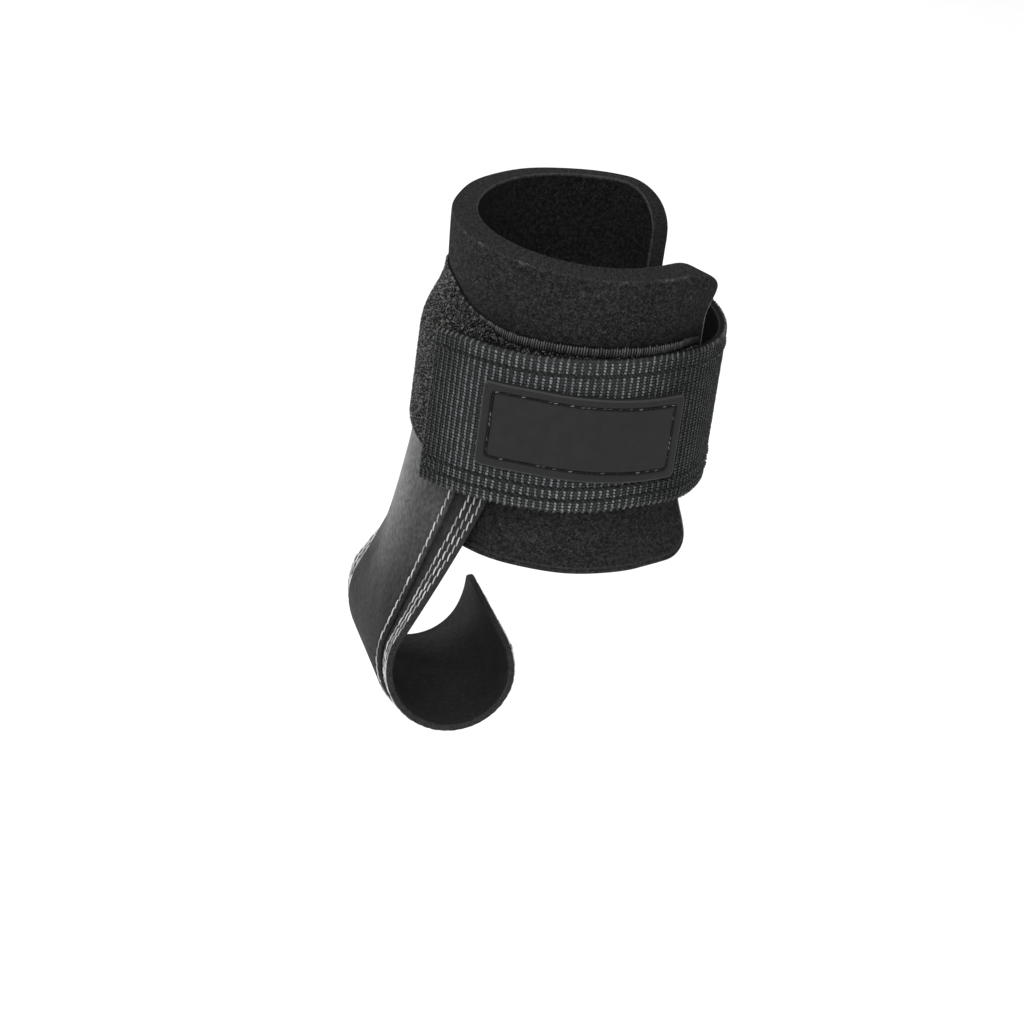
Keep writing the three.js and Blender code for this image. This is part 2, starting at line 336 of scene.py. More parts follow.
def sideShade(tree, low):
    # painted shade: 1 on the front of the cuff, falling to low at its sides, which turn away from the light
    place = addNode(tree, "ShaderNodeTexCoord").outputs["Object"]
    front = addNode(tree, "ShaderNodeSeparateXYZ", {0: place}).outputs["Y"]
    start, end = cuff["sideShade"]
    return ramp(front, start * mm, end * mm, low, 1.0)


def darkened(colour, factor):
    return joined("ShaderNodeVectorMath", {0: colour, 3: factor}, operation="SCALE")[0]


def mark(tree, name):
    return addNode(tree, "ShaderNodeAttribute", attribute_name=name).outputs["Fac"]


def flatPlace(tree):
    uv = addNode(tree, "ShaderNodeUVMap", uv_map="flat").outputs[0]
    return addNode(tree, "ShaderNodeSeparateXYZ", {0: uv}).outputs


def feed(shader, name, socket):
    shader.id_data.links.new(socket, shader.inputs[name])


def bump(shader, height, depth):
    # depth in millimetres for a height of 1
    sockets = {"Height": height, "Distance": depth * mm, "Strength": 1.0}
    feed(shader, "Normal", joined("ShaderNodeBump", sockets)[0])


# Foam pad with a knitted facing
pad = {
    "height": 79, "thick": 6.2, "frontEnd": 69, "backEnd": -215, "topCorner": 14, "bottomCorner": 8,
    "rimFlare": 0.6, "rimFlareFrom": 22, "rimSlope": 0.8, "rimSlopeFrom": 0.75, "endReach": 28,
    "endDip": 1.3, "endLift": 2.0, "lowEndLift": 2.8, "liftBand": 10, "groove": 0.5, "grooveHalf": 1.6,
    "grooveBelow": 0.4, "grooveFade": 4, "ripple": 0.16, "rippleRun": 7.3, "rippleLean": 0.04,
    "fineRipple": 0.12, "fineRippleRun": 3.1, "columns": 280, "rows": 84, "crowd": (4, 5),
    "edge": {"round": 0.4, "steps": 14, "square": 0.32},
}
padRun = runTable(pad["backEnd"], pad["frontEnd"], lambda angle: 0 * angle)


def nearFrontEnd(angle):
    # how near an angle is to the pad's front end, where the strap presses it in
    return smooth(pad["frontEnd"] - pad["endReach"], pad["frontEnd"], angle)


def padPlace(u, v, h):
    # the cuff's section, flared at both rims and pressed in under the strap near the front end and along
    # the tape's upper edge; the outer top edge is lower than the inner one
    angle = angleAt(padRun, u)
    half = pad["height"] / 2
    nearEnd = nearFrontEnd(angle)
    rim = smooth(pad["rimFlareFrom"], half, np.abs(v))
    endLift = mix(pad["lowEndLift"], pad["endLift"], smooth(-pad["liftBand"], pad["liftBand"], v))
    outward = pad["rimFlare"] * rim + nearEnd * (endLift * rim - pad["endDip"] * (1 - rim))
    outer = 1 + h / pad["thick"]
    back, front, fade = tape["backEnd"], tape["frontEnd"], pad["grooveFade"]
    taped = smooth(back - fade, back + fade, angle) * smooth(front + fade, front - fade, angle)
    groove = bell(v - readLine(tape["high"], angle) + pad["grooveBelow"], pad["grooveHalf"])
    outward = outward - pad["groove"] * outer * taped * groove
    slope = pad["rimSlope"] * outer * smooth(pad["rimSlopeFrom"], 1, (v + half) / pad["height"])
    ripple = pad["ripple"] * np.sin(u / pad["rippleRun"] + pad["rippleLean"] * v) * rim
    ripple = ripple + pad["fineRipple"] * np.sin(u / pad["fineRippleRun"] + 1.3) * rim * outer
    return cuffPoint(angle, outward + ripple + h, v - slope)


def padGrid():
    # rows between a lower and an upper edge whose corners are rounded, columns crowded towards the two ends
    length, inset = padRun["run"][-1], pad["edge"]["round"]
    endCrowd, rimCrowd = pad["crowd"]
    u = mix(inset, length - inset, crowded(pad["columns"], endCrowd)[:, None])
    fromEnd = np.minimum(u, length - u) - inset
    high = pad["height"] / 2 - inset - cornerDrop(fromEnd, pad["topCorner"] - inset)
    low = inset - pad["height"] / 2 + cornerDrop(fromEnd, pad["bottomCorner"] - inset)
    v = mix(low, high, crowded(pad["rows"], rimCrowd))
    return u + 0 * v, v


knit = {
    "wale": 0.66, "course": 0.6, "skew": 1.1, "body": (0.008, 0.013), "loop": 0.036, "speck": 0.066,
    "relief": 0.2, "mottle": (0.55, 1.35), "innerShade": 0.55, "cut": (0.008, 0.034), "lint": 0.12,
    "endFibre": 0.4, "turnedEdge": 0.07,
}


def knitMaterial():
    # one wave across times one along makes the knit's loops, and noise specks and mottles them
    material, tree, shader = startMaterial("padKnit", 0.06, 0.95)
    u, v, _ = flatPlace(tree)
    rib = calc("SINE", times(u, 2 * math.pi / knit["wale"]))
    skewed = times(u, knit["skew"])
    cross = calc("SINE", calc("MULTIPLY_ADD", v, 2 * math.pi / knit["course"], skewed))
    loops = times(rib, cross)
    speck = ramp(grain(tree, 0.32, 2.0, 0.6), 0.46, 0.72)
    body = blend(ramp(grain(tree, 6.0, 3.0), 0.3, 0.7), *map(grey, knit["body"]))
    body = blend(ramp(loops, -0.2, 0.9), body, grey(knit["loop"]))
    body = blend(times(speck, 0.85), body, grey(knit["speck"]))
    mottle = ramp(grain(tree, 0.9, 2.0, 0.6), 0.34, 0.66, *knit["mottle"])
    # painted shade: the inner face, which lies against the arm, is darkened
    innerShade = ramp(mark(tree, "outside"), 0.0, 0.5, knit["innerShade"], 1.0)
    body = darkened(body, times(mottle, innerShade))
    cut = blend(ramp(grain(tree, 0.4, 3.0), 0.35, 0.7), *map(grey, knit["cut"]))
    body = blend(ramp(mark(tree, "rim"), 0.2, 0.8), body, cut)
    # lint on the cut's edges: a thin broken line, in patches along the outer edge and whole at the front end
    outside, fromEdge = mark(tree, "outside"), mark(tree, "fromEdge")
    length = float(padRun["run"][-1])
    patches = ramp(grain(tree, 5.0, 2.0), 0.5, 0.66, 0.25, 1.0)
    atEnd = ramp(u, length - 2.5, length - 0.8)
    broken = ramp(grain(tree, 0.5, 3.0), 0.42, 0.62, 0.15, 1.0)
    outerLine = times(ramp(outside, 0.95, 0.985), broken, calc("MAXIMUM", patches, atEnd))
    thin = ramp(grain(tree, 0.7, 3.0), 0.3, 0.6, 0.2, 0.7)
    innerLine = times(ramp(outside, 0.045, 0.02), thin)
    lint = times(calc("ADD", outerLine, innerLine, clamp=True), ramp(fromEdge, 0.6, 0.0))
    body = blend(times(lint, 0.75), body, grey(knit["lint"]))
    # the facing's raw end, a line of pale fibres just in from the edge
    fibres = ramp(grain(tree, 0.6, 3.0), 0.35, 0.65, 0.2, 0.9)
    fibres = times(ramp(outside, 0.8, 0.95), fibres)
    endLine = times(atEnd, ramp(fromEdge, 0.75, 0.2), fibres)
    body = blend(endLine, body, grey(knit["endFibre"]))
    # the facing's turned edge shows as a fine line along the bottom
    low = ramp(v, -34.0, -36.0)
    line = times(ramp(fromEdge, 0.9, 1.2), ramp(fromEdge, 1.6, 1.3))
    body = blend(times(line, low, 0.4), body, grey(knit["turnedEdge"]))
    feed(shader, "Base Color", body)
    relief = calc("ADD", times(loops, 0.6), grain(tree, 0.35, 2.0))
    bump(shader, relief, knit["relief"])
    return material


padPiece = slab("cuffPad", *padGrid(), padPlace, -pad["thick"], 0.0, pad["edge"])
finishPiece(padPiece, knitMaterial(), "pad_knit", "cuff_pad")
print("pad done")


# Leather flap in two plies
flap = {
    "ply": 1.4, "angle": -88, "halfAngle": 61.5, "rootHalf": 38.6, "rootTop": 5, "leavesCuff": -21,
    "ease": 1.15, "sideBorder": 8.5, "endBorder": 2.1, "rootBorder": 1.0, "corner": 9, "seat": 0.22,
    "hookCentre": (-29, 0, -75.5), "hookRadius": 14.4, "hookWrap": 200, "hookYaw": 13, "hookTilt": -9,
    "hookHalf": 34, "hookShift": 6.5, "columns": 200, "rows": 72, "hem": 5.1, "hemRise": 0.3,
    "hemSlope": 0.7, "hemStitches": (0.75, 2.55, 4.5), "hemSeam": 0.14, "hemSeamHalf": 0.45,
    "faceStitch": 0.95, "faceSeam": 0.2, "faceSeamHalf": 0.6, "roll": 0.85, "rollReach": 0.8,
    "crease": 0.10, "creaseRun": 3.7, "creaseLean": 0.05, "creaseAt": 82, "creaseReach": 14,
    "stitchFrom": 8, "crowd": (1.35, 0.22), "edge": {"round": 0.3, "steps": 6, "square": 0.6},
}
yaw, tilt = math.radians(flap["hookYaw"]), math.radians(flap["hookTilt"])
hookAxis = np.array([-math.sin(yaw) * math.cos(tilt), math.cos(yaw) * math.cos(tilt), math.sin(tilt)])
hookSide = np.array([math.cos(yaw), math.sin(yaw), 0])
hookUp = unit(np.cross(hookSide, hookAxis))


def flapPoint(stage, across):
    # stage 0 to 1 lies on the cuff, 1 to 2 runs taut to where it meets the hook's round, 2 to 3 goes round
    stage, across = np.broadcast_arrays(stage, across)
    angle = flap["angle"] + across * flap["halfAngle"]
    leaves = cuffPoint(angle, 0.0, flap["leavesCuff"] + 0 * angle)
    root = cuffPoint(angle, 0.0, mix(flap["rootTop"], flap["leavesCuff"], np.minimum(stage, 1)))
    towardsFront = flap["hookShift"] + across * flap["hookHalf"]
    centre = np.array(flap["hookCentre"]) - towardsFront[..., None] * hookAxis
    sideways, upward = (leaves - centre) @ hookSide, (leaves - centre) @ hookUp
    tangent = np.arccos(flap["hookRadius"] / np.hypot(sideways, upward))
    meets = np.arctan2(upward, sideways) + tangent - np.pi
    turn = mix(meets, math.radians(flap["hookWrap"]), np.maximum(stage - 2, 0))
    onHook = centre - flap["hookRadius"] * (
        np.cos(turn)[..., None] * hookSide + np.sin(turn)[..., None] * hookUp
    )
    t = np.clip(stage - 1, 0, 1)[..., None]
    eased = np.concatenate([t, t, t], axis=-1) ** np.array([flap["ease"], flap["ease"], 1])
    straight = mix(leaves, onHook, eased)
    stage = stage[..., None]
    return np.where(stage <= 1, root, np.where(stage >= 2, onHook, straight))


def flapOffset(stage, across, height):
    # moved out along the surface's normal, found from two short steps on it
    step = 1e-3
    down = flapPoint(stage + step, across) - flapPoint(stage - step, across)
    over = flapPoint(stage, across + step) - flapPoint(stage, across - step)
    return flapPoint(stage, across) + unit(np.cross(down, over)) * np.asarray(height)[..., None]


stageSteps = np.linspace(0, 3.02, 900)  # a little past the end, for the edge that stands proud
flapRun = wayLengths(flapPoint(stageSteps, 0 * stageSteps))
flapLength = float(np.interp(3, stageSteps, flapRun))


def flapHalf(stage):
    # half width, from the root's to the hook's along the taut run
    return mix(flap["rootHalf"], flap["hookHalf"], np.clip(stage - 1, 0, 1))


def flapPlace(u, v, h):
    # u runs down the middle from the root's top, v goes across
    stage = np.interp(u, flapRun, stageSteps)
    return flapOffset(stage, v / flapHalf(stage), h)


def plyReach(u, sideBorder, endBorder):
    # half width of a ply at u, narrowed at its rounded end
    stage = np.interp(u, flapRun, stageSteps)
    fromEnd = flapLength - endBorder - u
    return flapHalf(stage) - sideBorder - cornerDrop(fromEnd, flap["corner"])


def plyGrid(sideBorder, endBorder, rootBorder):
    # columns crowded towards the end, rows towards both side edges
    inset = flap["edge"]["round"]
    endCrowd, sideCrowd = flap["crowd"]
    t = np.linspace(0, 1, flap["columns"])[:, None]
    u = mix(rootBorder + inset, flapLength - endBorder - inset, 1 - (1 - t) ** endCrowd)
    reach = plyReach(u, sideBorder + inset, endBorder + inset)
    s = np.linspace(-1, 1, flap["rows"])
    return u + 0 * s, reach * (s + sideCrowd * np.sin(np.pi * s))


def backingTop(u, v):
    # outer face of the backing: a raised hem along the edge, pressed in along its seams
    inner = plyReach(u, 0, 0) - np.abs(v)
    fromEdge = np.minimum(inner, flapLength - u)
    hem = flap["hemRise"] * smooth(flap["hem"], flap["hem"] - flap["hemSlope"], fromEdge)
    seams = sum(bell(fromEdge - d, flap["hemSeamHalf"]) for d in flap["hemStitches"])
    return flap["ply"] + hem - flap["hemSeam"] * seams


def faceTop(u, v):
    # outer face of the face ply: rolled down at its edge, softly pressed in along its one seam, with
    # shallow creases across the taut run
    inner = plyReach(u, flap["sideBorder"], flap["endBorder"]) - np.abs(v)
    fromEdge = np.minimum(inner, flapLength - flap["endBorder"] - u)
    seam = bell(fromEdge - flap["faceStitch"], flap["faceSeamHalf"])
    rolled = flap["roll"] * np.exp(-np.maximum(fromEdge, 0) / flap["rollReach"])
    creased = bell(u - flap["creaseAt"], flap["creaseReach"])
    crease = flap["crease"] * np.sin(u / flap["creaseRun"] + flap["creaseLean"] * v) * creased
    return flap["ply"] + crease - flap["faceSeam"] * seam - rolled


leather = {
    "pebble": 1.1, "litAndUnwornTo": (38.0, 74.0), "paleShift": 12.0, "paleTo": (11.0, 38.0), "shadeAndWear": 0.012,
    "blotch": (0.62, 1.38), "wornEdge": 0.05, "dulled": 0.36, "relief": 0.09,
    "backing": {"tones": (0.03, 0.07), "roughness": 0.55, "gloss": 0.2},
    # the face ply's light tones paint its sheen where the mask leaves them
    "face": {"tones": (0.13, 0.19), "roughness": 0.5, "gloss": 0.14},
}


def leatherMaterial(name, look):
    # pebbles from the distance to a cell's edge, under clouds and flecks of noise
    material, tree, shader = startMaterial(name, look["gloss"])
    (dark, light), roughness = look["tones"], look["roughness"]
    place = addNode(tree, "ShaderNodeTexCoord").outputs["Object"]
    sockets = {"Vector": place, "Scale": 1 / (leather["pebble"] * mm), "Randomness": 1.0}
    cells = addNode(tree, "ShaderNodeTexVoronoi", sockets, feature="DISTANCE_TO_EDGE").outputs["Distance"]
    pebble = ramp(cells, 0.0, 0.22)
    cloud, fine = grain(tree, 9.0, 4.0), grain(tree, 0.5, 3.0, 0.7)
    u, v, _ = flatPlace(tree)
    # darker towards the hook and the two seams: painted shade, partly handling wear; the pale band between is
    # a painted sheen
    uneven = calc("MULTIPLY_ADD", cloud, 16.0, calc("SUBTRACT", u, 8.0))
    aside = calc("MULTIPLY_ADD", fine, 4.0, calc("ADD", v, leather["paleShift"]))
    pale = ramp(calc("ABSOLUTE", aside), *leather["paleTo"], 1.0, 0.25)
    litAndUnworn = times(ramp(uneven, *leather["litAndUnwornTo"], 1.0, 0.10), pale)
    shadeAndWear = calc("SUBTRACT", 1.0, litAndUnworn)
    body = blend(ramp(cloud, 0.3, 0.72), grey(dark), grey(light))
    body = blend(ramp(fine, 0.54, 0.76, 0.0, 0.5), body, grey(light * 2.0))
    body = blend(ramp(fine, 0.44, 0.26, 0.0, 0.6), body, grey(dark * 0.4))
    body = blend(shadeAndWear, body, grey(leather["shadeAndWear"]))
    body = darkened(body, ramp(grain(tree, 1.3, 3.0, 0.65), 0.3, 0.7, *leather["blotch"]))
    worn = times(ramp(mark(tree, "rim"), 0.1, 0.9), ramp(fine, 0.35, 0.6))
    body = blend(times(worn, 0.5), body, grey(leather["wornEdge"]))
    feed(shader, "Base Color", body)
    patchy = ramp(cloud, 0.25, 0.75, roughness - 0.07, roughness + 0.07)
    feed(shader, "Roughness", calc("MULTIPLY_ADD", shadeAndWear, leather["dulled"], patchy))
    bump(shader, calc("ADD", times(pebble, 0.7), times(fine, 0.9)), leather["relief"])
    return material


backU, backV = plyGrid(0, 0, 0)
backing = slab("flapBacking", backU, backV, flapPlace, cuff["layerGap"],
               cuff["layerGap"] + backingTop(backU, backV), flap["edge"])
backingLeather = leatherMaterial("backingLeather", leather["backing"])
finishPiece(backing, backingLeather, "backing_leather", "flap_backing")
faceU, faceV = plyGrid(flap["sideBorder"], flap["endBorder"], flap["rootBorder"])
faceBase = 2 * cuff["layerGap"] + flap["ply"]
face = slab("flapFace", faceU, faceV, flapPlace, faceBase - flap["seat"],
            faceBase + faceTop(faceU, faceV), flap["edge"])
finishPiece(face, leatherMaterial("faceLeather", leather["face"]), "face_leather", "flap_face")
print("flap length", round(flapLength, 1))


# Thread rows of the flap, each a way that keeps its distance from a ply's edge
flapThread = {
    "pitch": 2.3, "fill": 1.12, "stations": 9, "around": 7, "radius": 0.19, "rise": 0.16, "sink": 0.06,
    "slant": 0.3, "wander": 0.1, "tones": (0.25, 0.64), "paleShare": 1.0,
}


def edgeWay(sideBorder, endBorder, rootBorder, inset):
    # down the front edge, round the end's corners and back up, at a constant distance in from the outline
    corner = max(flap["corner"] - inset, 0.5)
    start, end = rootBorder + flap["stitchFrom"], flapLength - endBorder - inset
    down = start + (end - start) * (1 - (1 - np.linspace(0, 1, 500)) ** 1.6)
    stage = np.interp(down, flapRun, stageSteps)
    reach = flapHalf(stage) - sideBorder - inset - cornerDrop(end - down, corner)
    across = np.linspace(reach[-1], -reach[-1], 60)[1:-1]
    u = np.concatenate([down, np.full(across.shape, end), down[::-1]])
    return u, np.concatenate([reach, across, -reach[::-1]])


def flapRows():
    # three rows on the backing's hem and one on the face ply
    rows = []
    for distance in flap["hemStitches"]:
        u, v = edgeWay(0, 0, 0, distance)
        rows.append((u, v, cuff["layerGap"] + backingTop(u, v)))
    u, v = edgeWay(flap["sideBorder"], flap["endBorder"], flap["rootBorder"], flap["faceStitch"])
    return rows + [(u, v, faceBase + faceTop(u, v))]


def threadMaterial(name, look):
    # each stitch takes its own tone between the two, and only the pale share of them leaves the lower one
    material, tree, shader = startMaterial(name, 0.3, 0.6)
    low, high = look["tones"]
    pale = ramp(mark(tree, "tone"), 1 - look["paleShare"], 1.0)
    tone = blend(pale, grey(low), grey(high))
    fibre = grain(tree, 0.25, 3.0)
    tone = blend(ramp(fibre, 0.5, 0.3, 0.0, 0.5), tone, grey(low * 0.35))
    feed(shader, "Base Color", tone)
    bump(shader, fibre, 0.06)
    return material


flapSewing = stitches("flapThread", flapPlace, flapRows(), flapThread)
finishPiece(flapSewing, threadMaterial("whiteThread", flapThread), "backing_leather")
print("flap sewn")


# Loop tape round the pad, over the flap's root
def overFlap(angle):
    # share of the flap's two plies under an angle, the same on both sides of the flap's middle
    mirrored = np.where(angle < flap["angle"], 2 * flap["angle"] - angle, angle)
    return smooth(tape["rampFrom"], tape["rampTo"], mirrored)


tapeRun = runTable(tape["backEnd"], tape["frontEnd"],
                   lambda angle: cuff["layerGap"] + tape["lift"] * overFlap(angle))


def tapePlace(u, v, h):
    # pressed into the pad along its upper edge, lifted over the flap's root below that
    angle = angleAt(tapeRun, u)
    high = readLine(tape["high"], angle)
    lift = tape["lift"] * overFlap(angle) * smooth(high - tape["flatStrip"], tape["shoulder"], v)
    nearTop = smooth(high - tape["pressReach"], high - tape["pressTop"], v)
    pressed = tape["press"] * nearTop + pad["endDip"] * nearFrontEnd(angle)
    return cuffPoint(angle, cuff["layerGap"] + lift + h - pressed, v)


def tapeGrid():
    # evenly spaced between the tape's lower and upper edge lines
    inset = tape["edge"]["round"]
    u = np.linspace(inset, tapeRun["run"][-1] - inset, tape["columns"])[:, None]
    angle = angleAt(tapeRun, u)
    s = np.linspace(0, 1, tape["rows"])
    v = mix(readLine(tape["low"], angle) + inset, readLine(tape["high"], angle) - inset, s)
    return u + 0 * v, v


def tapeMaterial():
    # flecks of noise, darker on the cut edge
    material, tree, shader = startMaterial("tapeGround", 0.06, 0.95)
    flecks = ramp(grain(tree, 0.4, 3.0), 0.45, 0.72)
    body = blend(flecks, *map(grey, tape["tones"]))
    feed(shader, "Base Color", blend(mark(tree, "rim"), body, grey(tape["rimTone"])))
    bump(shader, flecks, 0.2)
    return material


tapePiece = slab("loopTape", *tapeGrid(), tapePlace, -tape["seat"], tape["ground"], tape["edge"])
finishPiece(tapePiece, tapeMaterial(), "loop_pile", "loop_tape")

# Where the strap lies, which the pile, the hook tape and the patch go by
strap = {
    "thick": 2.0, "width": 40, "freeEnd": -53, "rootEnd": 190, "inwardFrom": 50, "inwardTo": 105,
    "line": [(-53, -3.3), (-36, -1.6), (-12, -1.5), (10, -0.3), (36, 0.8), (68, -1.2), (112, -3.4),
             (190, -3.0)],
    "hookThick": 1.0, "column": 1.66, "perColumn": 6, "rows": 16, "rib": 0.18, "wave": 0.12, "waveRun": 5.3,
    "edge": {"round": 0.55, "steps": 6, "square": 0.7},
}
strapGap = cuff["layerGap"] + tape["thick"] + cuff["layerGap"] + strap["hookThick"] + cuff["layerGap"]


def strapOffset(angle):
    # over the tapes and the flap's root at the front, coming in to the pad past the tape's end
    front = strapGap + tape["lift"] * overFlap(angle) - pad["endDip"] * nearFrontEnd(angle)
    return mix(front, cuff["layerGap"], smooth(strap["inwardFrom"], strap["inwardTo"], angle))


strapRun = runTable(strap["freeEnd"], strap["rootEnd"], strapOffset)
strapLength = float(strapRun["run"][-1])


def strapPlace(u, v, h):
    # v goes across from a middle line that rises and falls round the cuff, with a slight wave in its edges
    angle = angleAt(strapRun, u)
    wave = strap["wave"] * np.sin(u / strap["waveRun"] + 0.4) * v / strap["width"] * 2
    return cuffPoint(angle, strapOffset(angle) + h, readLine(strap["line"], angle) + v + wave)


# Pile of fine loops on the tape where the strap leaves it bare
pile = {
    "perMm": 4.4, "width": (0.13, 0.36), "height": (0.2, 0.55), "radius": 0.064, "lean": 0.8, "stations": 3,
    "under": 2.2, "tufts": 6.5, "tuftHeight": (0.15, 0.5), "tuftRadius": 0.17, "tuftLean": 0.3,
    "band": (-21.5, 25.0), "span": 42, "clear": 0.5, "besideStrap": 0.6, "foot": 0.1, "tones": (0.006, 0.36),
    "tint": (1.0, 0.99, 0.97), "sides": 3, "fewPale": 2.0, "fewPaleTufts": 2.4,
    "tuftTones": (0.3, 0.3, 0.3, 0.9),
}


def bareSpots(perMm):
    # random places on the tape, kept where the strap leaves it bare and clear of the ribbed edge
    length, clear = tapeRun["run"][-1], pile["clear"]
    count = int(length * pile["span"] * perMm)
    u, v = draw.uniform(clear, length - clear, count), draw.uniform(*pile["band"], count)
    angle = angleAt(tapeRun, u)
    strapTop = readLine(strap["line"], angle) + strap["width"] / 2
    bare = (angle < strap["freeEnd"] - pile["besideStrap"]) | (v > strapTop - pile["under"])
    selvage = mix(clear, tape["selvage"], smooth(*tape["ribbedFrom"], angle))
    inside = (v > readLine(tape["low"], angle) + clear) & (v < readLine(tape["high"], angle) - selvage)
    return u[bare & inside][:, None], v[bare & inside][:, None]


def pileLoops():
    # a loop is half an oval of thread with both feet in the tape, turned and leaning at random
    u, v = bareSpots(pile["perMm"])
    count = len(u)
    s = np.linspace(0, np.pi, pile["stations"])
    heading = draw.uniform(0, 2 * np.pi, (count, 1))
    width, height = (draw.uniform(*pile[key], (count, 1)) for key in ("width", "height"))
    leanU, leanV = (draw.normal(0, pile["lean"], (count, 1)) for _ in range(2))
    pu = u - width * np.cos(heading) * np.cos(s) + leanU * height * np.sin(s)
    pv = v - width * np.sin(heading) * np.cos(s) + leanV * height * np.sin(s)
    ph = tape["ground"] - pile["foot"] + height * np.sin(s)
    threads = threadFrame(tapePlace, pu, pv, ph, 0.01)
    return tubes("loopPile", threads, pile["radius"], pile["sides"], draw.random(count) ** pile["fewPale"])


def pileTufts():
    # a tuft is a small three-sided pyramid whose tip leans at random
    u, v = bareSpots(pile["tufts"])
    count = len(u)
    turn = draw.uniform(0, 2 * np.pi, (count, 1)) + np.radians([0, 120, 240])
    leanU, leanV = (draw.normal(0, pile["tuftLean"], (count, 1)) for _ in range(2))
    tip = draw.uniform(*pile["tuftHeight"], (count, 1))
    pu = np.hstack([u + pile["tuftRadius"] * np.cos(turn), u + leanU])
    pv = np.hstack([v + pile["tuftRadius"] * np.sin(turn), v + leanV])
    ph = np.hstack([np.full((count, 3), tape["ground"] - pile["foot"]), tape["ground"] + tip])
    index = 4 * np.arange(count)[:, None, None]
    faces = (index + np.array([[2, 1, 0], [0, 1, 3], [1, 2, 3], [2, 0, 3]])).reshape(-1, 3).tolist()
    tone = draw.random((count, 1)) ** pile["fewPaleTufts"] * np.array(pile["tuftTones"])
    return buildPiece("pileTufts", tapePlace(pu, pv, ph), faces, None, {"tone": tone})


def pileMaterial():
    # each loop's own tone between dark and pale
    material, tree, shader = startMaterial("pileThread", 0.1, 0.85)
    low, high = pile["tones"]
    feed(shader, "Base Color", blend(mark(tree, "tone"), grey(low), grey(high, pile["tint"])))
    return material


pileThread = pileMaterial()
finishPiece(pileLoops(), pileThread, "loop_pile")
finishPiece(pileTufts(), pileThread, "loop_pile")
print("pile done")


# Ribbed edges of the tape and the strap
def bars(name, place, u, v, height, look, half, shade=1.0):
    # short thread bars side by side, each rising over the edge strip and dipping at both ends of its span
    count = len(u)
    t = np.linspace(-1, 1, look["stations"])
    dip = np.abs(t) ** 3
    pu = u[:, None] + look["lean"] * t + draw.normal(0, look["wander"], (count, 1))
    pv = v[:, None] + half * t * (1 + draw.normal(0, thread["barUneven"], (count, 1)))
    ph = height + look["rise"] * (1 - dip) - look["sink"] * dip
    tone = look["even"] * (0.5 + 0.5 * t) + (1 - look["even"]) * draw.random((count, 1))
    radius = look["radius"] * (1 - thread["barTaper"] * np.abs(t) ** 4)
    return tubes(name, threadFrame(place, pu, pv, ph), radius, look["around"], tone * shade)


tapeSelvage = {
    "pitch": 0.66, "stations": 6, "around": 6, "radius": 0.22, "rise": 0.14, "sink": 0.25, "wander": 0.03,
    "even": 0.6, "lean": 0.05, "from": 0.8, "endClear": 0.6, "inset": 0.15, "slack": 0.1, "narrow": 0.3,
    "beads": (-46, -34), "beadTone": 2.0, "fades": (40, 60), "fadesTo": 0.2, "tones": (0.008, 0.18),
}


def tapeBars():
    # ribs along the tape's upper edge, down to a row of beads at the back and fading out at the front end
    look = tapeSelvage
    u = np.arange(look["from"], tapeRun["run"][-1] - look["endClear"], look["pitch"])
    angle = angleAt(tapeRun, u)
    wide = tape["selvage"] / 2 - look["slack"]
    half = mix(look["narrow"], wide, smooth(*tape["ribbedFrom"], angle))
    v = readLine(tape["high"], angle) - half - look["inset"]
    beads = mix(look["beadTone"] * draw.random(len(u)) ** 2, 1.0, smooth(*look["beads"], angle))
    shade = beads * mix(1.0, look["fadesTo"], smooth(*look["fades"], angle))
    return bars("tapeSelvage", tapePlace, u, v, tape["ground"], look, half[:, None], shade[:, None])


def selvageMaterial(name, look):
    # each bar's own tone, with dark fibres of noise
    material, tree, shader = startMaterial(name, 0.15, 0.8)
    low, high = look["tones"]
    tone = blend(mark(tree, "tone"), grey(low), grey(high))
    fibre = grain(tree, 0.2, 2.0)
    feed(shader, "Base Color", blend(ramp(fibre, 0.55, 0.35, 0.0, 0.6), tone, grey(low * 0.4)))
    bump(shader, fibre, 0.05)
    return material


finishPiece(tapeBars(), selvageMaterial("selvageThread", tapeSelvage), "loop_pile")

# Hook tape under the free end
hook = {
    "from": -51.5, "to": 56, "width": 38, "columns": 90, "rows": 12, "tones": (0.006, 0.016),
    "edge": {"round": 0.3, "steps": 4, "square": 0.7},
}
hookRun = runTable(hook["from"], hook["to"], strapOffset)


def hookPlace(u, v, h):
    # follows the strap's middle line on its inner side
    angle = angleAt(hookRun, u)
    offset = strapOffset(angle) - cuff["layerGap"] - strap["hookThick"] + h
    return cuffPoint(angle, offset, readLine(strap["line"], angle) + v)


def hookMaterial():
    # flecks of noise between two tones
    material, tree, shader = startMaterial("hookTape", 0.3)
    flecks = ramp(grain(tree, 0.5, 2.0), 0.4, 0.65)
    feed(shader, "Base Color", blend(flecks, *map(grey, hook["tones"])))
    return material


hookLength = float(hookRun["run"][-1])
hookU, hookV = evenGrid(hookLength, hook, hook["columns"])
hookPiece = slab("hookTape", hookU, hookV, hookPlace, 0.0, strap["hookThick"], hook["edge"])
finishPiece(hookPiece, hookMaterial(), "hook_tape", "hook_tape")


# Webbing strap, ribbed across its width
def ribs(u):
    # a row of rounded ribs, one for each column of the weave
    return strap["rib"] * (np.abs(np.sin(np.pi * u / strap["column"])) - 1)


webbing = {
    "tint": (0.92, 0.99, 1.0), "linePitch": 0.34, "tones": (0.026, 0.066), "lines": 0.018, "gaps": 0.014,
    "inner": 0.010, "border": 0.16, "sides": 0.45,
}


def tinted(level):
    return grey(level, webbing["tint"])


